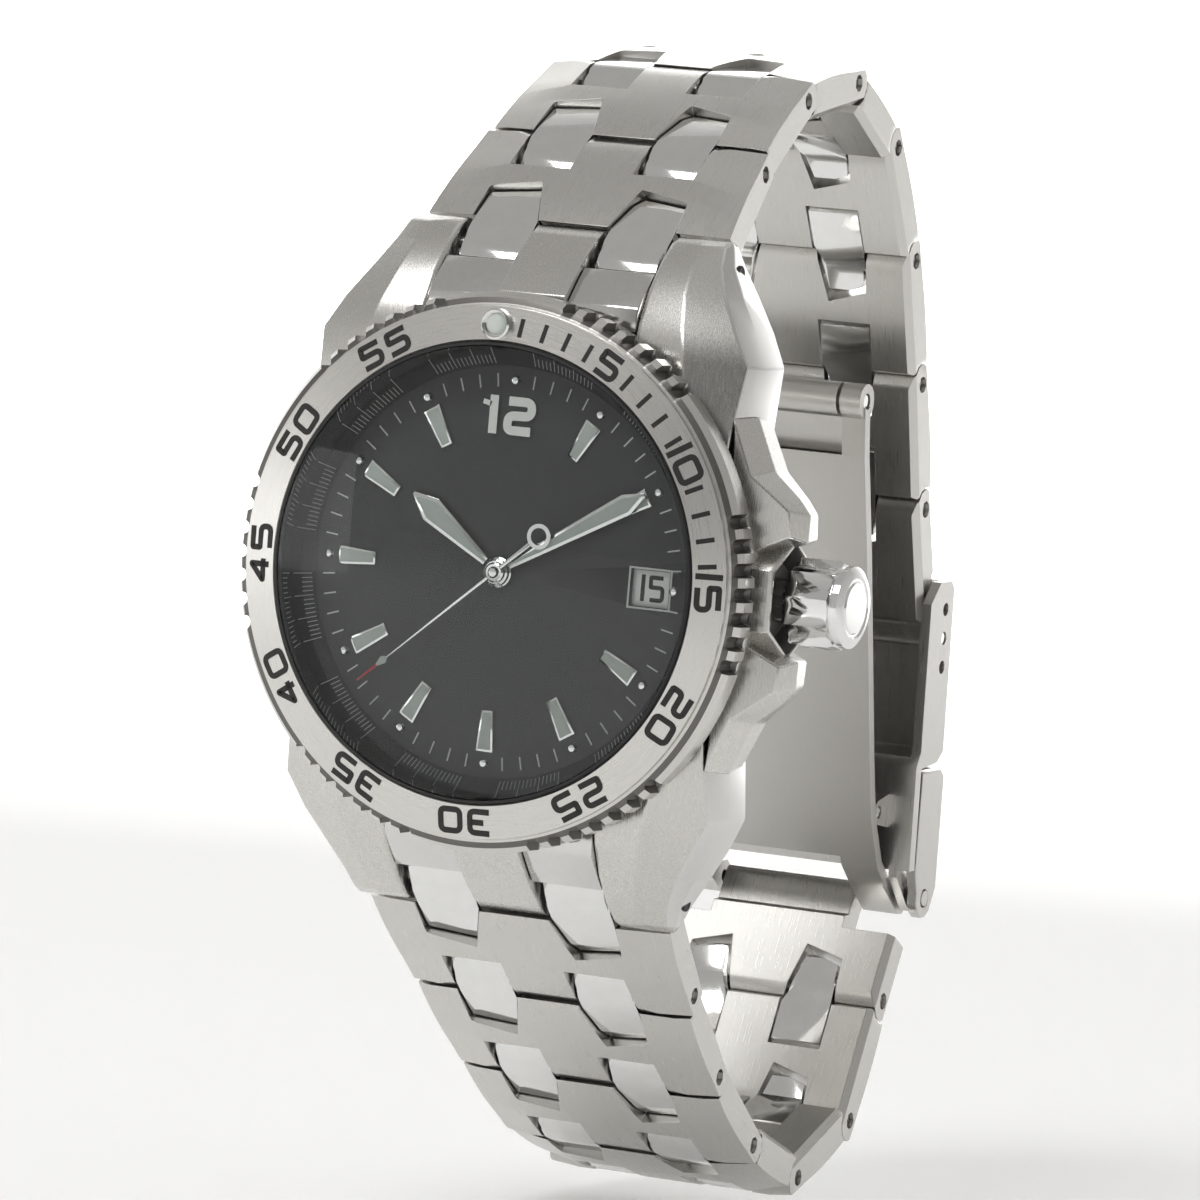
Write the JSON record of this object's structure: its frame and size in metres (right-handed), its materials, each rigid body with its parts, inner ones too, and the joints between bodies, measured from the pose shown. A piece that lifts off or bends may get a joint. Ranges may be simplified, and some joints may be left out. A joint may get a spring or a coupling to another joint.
{
  "type": "dive watch",
  "caption": "Steel dive watch with a notched turning bezel, round dial, side crown and a full-width link bracelet closed by a folding clasp with a safety latch.",
  "frame": {"origin": "middle of the case back's flat face, which lies on the wrist", "axes": "+Z to 12 o'clock, +X to 3 o'clock and the crown, +Y out of the case back; the dial faces -Y"},
  "size_m": [0.0459, 0.0633, 0.0858],
  "materials": {
    "satin_steel": "satin, lengthwise brushed stainless steel",
    "polished_steel": "polished stainless steel",
    "bezel_steel": "stainless steel, brushed in rings",
    "dial_black": "matte charcoal paint on a thin brass disc",
    "crystal_glass": "clear flat crystal",
    "lume": "pale grey-green luminous fill",
    "black_rubber": "matte black rubber",
    "dark_plastic": "matte dark plastic",
    "white_print": "white date disc",
    "movement_metal": "plated movement",
    "battery_steel": "bright button cell"
  },
  "bodies": {
    "case": {"mid_case": "satin_steel", "case_back": "satin_steel", "case_back_gasket": "black_rubber", "crystal": "crystal_glass", "crystal_gasket": "black_rubber", "rehaut_ring": "dark_plastic", "dial": "dial_black", "movement": "movement_metal", "movement_holder": "dark_plastic", "battery": "battery_steel", "crown_tube": "satin_steel", "bezel_click_spring": "satin_steel", "upper_end_link": "satin_steel", "lower_end_link": "satin_steel"},
    "bezel": {"bezel": "bezel_steel", "bezel_pearl": "lume"},
    "seconds": {"seconds_hand": "polished_steel"},
    "minutes": {"minute_hand": "polished_steel"},
    "hours": {"hour_hand": "polished_steel"},
    "date": {"date_disc": "white_print"},
    "stem": {"crown_stem": "satin_steel"},
    "crown": {"crown": "polished_steel"},
    "upper_1": {"upper_link_1": "satin_steel", "upper_connector_1": "polished_steel"},
    "upper_2": {"upper_link_2": "satin_steel", "upper_connector_2": "polished_steel"},
    "upper_3": {"upper_link_3": "satin_steel", "upper_connector_3": "polished_steel"},
    "upper_4": {"upper_link_4": "satin_steel", "upper_connector_4": "polished_steel", "upper_connector_5": "polished_steel"},
    "upper_5": {"upper_link_5": "satin_steel", "upper_connector_6": "polished_steel"},
    "upper_6": {"upper_link_6": "satin_steel", "upper_connector_7": "polished_steel"},
    "upper_7": {"upper_link_7": "satin_steel", "upper_connector_8": "polished_steel"},
    "upper_8": {"upper_link_8": "satin_steel"},
    "lower_1": {"lower_link_1": "satin_steel", "lower_connector_1": "polished_steel"},
    "lower_2": {"lower_link_2": "satin_steel", "lower_connector_2": "polished_steel"},
    "lower_3": {"lower_link_3": "satin_steel", "lower_connector_3": "polished_steel"},
    "lower_4": {"lower_link_4": "satin_steel", "lower_connector_4": "polished_steel", "lower_connector_5": "polished_steel"},
    "lower_5": {"lower_link_5": "satin_steel", "lower_connector_6": "polished_steel"},
    "lower_6": {"lower_link_6": "satin_steel", "lower_connector_7": "polished_steel"},
    "lower_7": {"lower_link_7": "satin_steel"},
    "cover": {"clasp_cover": "satin_steel", "clasp_spring_bar": "satin_steel", "cover_hinge_pin": "satin_steel"},
    "blade_a": {"clasp_blade_a": "satin_steel", "fold_hinge_pin": "satin_steel"},
    "blade_b": {"clasp_blade_b": "satin_steel"},
    "latch": {"safety_latch": "satin_steel"}
  },
  "joints": [
    {"name": "bezel_turn", "type": "hinge", "parent": "case", "child": "bezel", "pos_m": [0, -0.01, 0], "axis": [0, 1, 0], "continuous": true},
    {"name": "seconds_turn", "type": "hinge", "parent": "case", "child": "seconds", "pos_m": [0, -0.01, 0], "axis": [0, 1, 0], "continuous": true},
    {"name": "minutes_turn", "type": "hinge", "parent": "case", "child": "minutes", "pos_m": [0, -0.01, 0], "axis": [0, 1, 0], "continuous": true},
    {"name": "hours_turn", "type": "hinge", "parent": "case", "child": "hours", "pos_m": [0, -0.01, 0], "axis": [0, 1, 0], "continuous": true},
    {"name": "date_turn", "type": "hinge", "parent": "case", "child": "date", "pos_m": [0, -0.01, 0], "axis": [0, 1, 0], "continuous": true},
    {"name": "crown_pull", "type": "slide", "parent": "case", "child": "stem", "axis": [1, 0, 0], "range_m": [0, 0.0018]},
    {"name": "crown_turn", "type": "hinge", "parent": "stem", "child": "crown", "pos_m": [0.023, -0.0046, 0], "axis": [1, 0, 0], "continuous": true},
    {"name": "upper_hinge_1", "type": "hinge", "parent": "case", "child": "upper_1", "pos_m": [0, -0.0015, 0.023], "axis": [1, 0, 0], "range_deg": [0, 42]},
    {"name": "upper_hinge_2", "type": "hinge", "parent": "upper_1", "child": "upper_2", "pos_m": [0, 0.00586, 0.02977], "axis": [1, 0, 0], "range_deg": [0, 12]},
    {"name": "upper_hinge_3", "type": "hinge", "parent": "upper_2", "child": "upper_3", "pos_m": [0, 0.01417, 0.03533], "axis": [1, 0, 0], "range_deg": [0, 28]},
    {"name": "upper_hinge_4", "type": "hinge", "parent": "upper_3", "child": "upper_4", "pos_m": [0, 0.02403, 0.03702], "axis": [1, 0, 0], "range_deg": [0, 40]},
    {"name": "upper_hinge_5", "type": "hinge", "parent": "upper_4", "child": "upper_5", "pos_m": [0, 0.03294, 0.03248], "axis": [1, 0, 0], "range_deg": [0, 34]},
    {"name": "upper_hinge_6", "type": "hinge", "parent": "upper_5", "child": "upper_6", "pos_m": [0, 0.03831, 0.02404], "axis": [1, 0, 0], "range_deg": [0, 16]},
    {"name": "upper_hinge_7", "type": "hinge", "parent": "upper_6", "child": "upper_7", "pos_m": [0, 0.04167, 0.01462], "axis": [1, 0, 0], "range_deg": [0, 8]},
    {"name": "upper_hinge_8", "type": "hinge", "parent": "upper_7", "child": "upper_8", "pos_m": [0, 0.04442, 0.00501], "axis": [1, 0, 0], "range_deg": [0, 6]},
    {"name": "lower_hinge_1", "type": "hinge", "parent": "case", "child": "lower_1", "pos_m": [0, -0.0015, -0.023], "axis": [-1, 0, 0], "range_deg": [0, 42]},
    {"name": "lower_hinge_2", "type": "hinge", "parent": "lower_1", "child": "lower_2", "pos_m": [0, 0.00562, -0.03002], "axis": [-1, 0, 0], "range_deg": [0, 8]},
    {"name": "lower_hinge_3", "type": "hinge", "parent": "lower_2", "child": "lower_3", "pos_m": [0, 0.01313, -0.03662], "axis": [-1, 0, 0], "range_deg": [0, 10]},
    {"name": "lower_hinge_4", "type": "hinge", "parent": "lower_3", "child": "lower_4", "pos_m": [0, 0.02129, -0.0424], "axis": [-1, 0, 0], "range_deg": [0, 20]},
    {"name": "lower_hinge_5", "type": "hinge", "parent": "lower_4", "child": "lower_5", "pos_m": [0, 0.03075, -0.04566], "axis": [-1, 0, 0], "range_deg": [0, 44]},
    {"name": "lower_hinge_6", "type": "hinge", "parent": "lower_5", "child": "lower_6", "pos_m": [0, 0.04008, -0.04206], "axis": [-1, 0, 0], "range_deg": [0, 46]},
    {"name": "lower_hinge_7", "type": "hinge", "parent": "lower_6", "child": "lower_7", "pos_m": [0, 0.04456, -0.03311], "axis": [-1, 0, 0], "range_deg": [0, 8]},
    {"name": "cover_swing", "type": "hinge", "parent": "upper_8", "child": "cover", "pos_m": [0, 0.04784, -0.00492], "axis": [1, 0, 0], "range_deg": [0, 10]},
    {"name": "latch_open", "type": "hinge", "parent": "cover", "child": "latch", "pos_m": [0, 0.04853, -0.02521], "axis": [-1, 0, 0], "range_deg": [0, 90]},
    {"name": "blade_a_fold", "type": "hinge", "parent": "cover", "child": "blade_a", "pos_m": [0, 0.043, -0.0185], "axis": [1, 0, 0], "range_deg": [0, 42]},
    {"name": "blade_b_fold", "type": "hinge", "parent": "blade_a", "child": "blade_b", "pos_m": [0, 0.0335, 0.0132], "axis": [-1, 0, 0], "range_deg": [0, 42]}
  ],
  "couplings": [
    {"joint": "minutes_turn", "follows": "seconds_turn", "ratio": 0.016667},
    {"joint": "hours_turn", "follows": "seconds_turn", "ratio": 0.0013889},
    {"joint": "date_turn", "follows": "seconds_turn", "ratio": -0.000022401},
    {"joint": "blade_b_fold", "follows": "blade_a_fold", "ratio": 1}
  ]
}
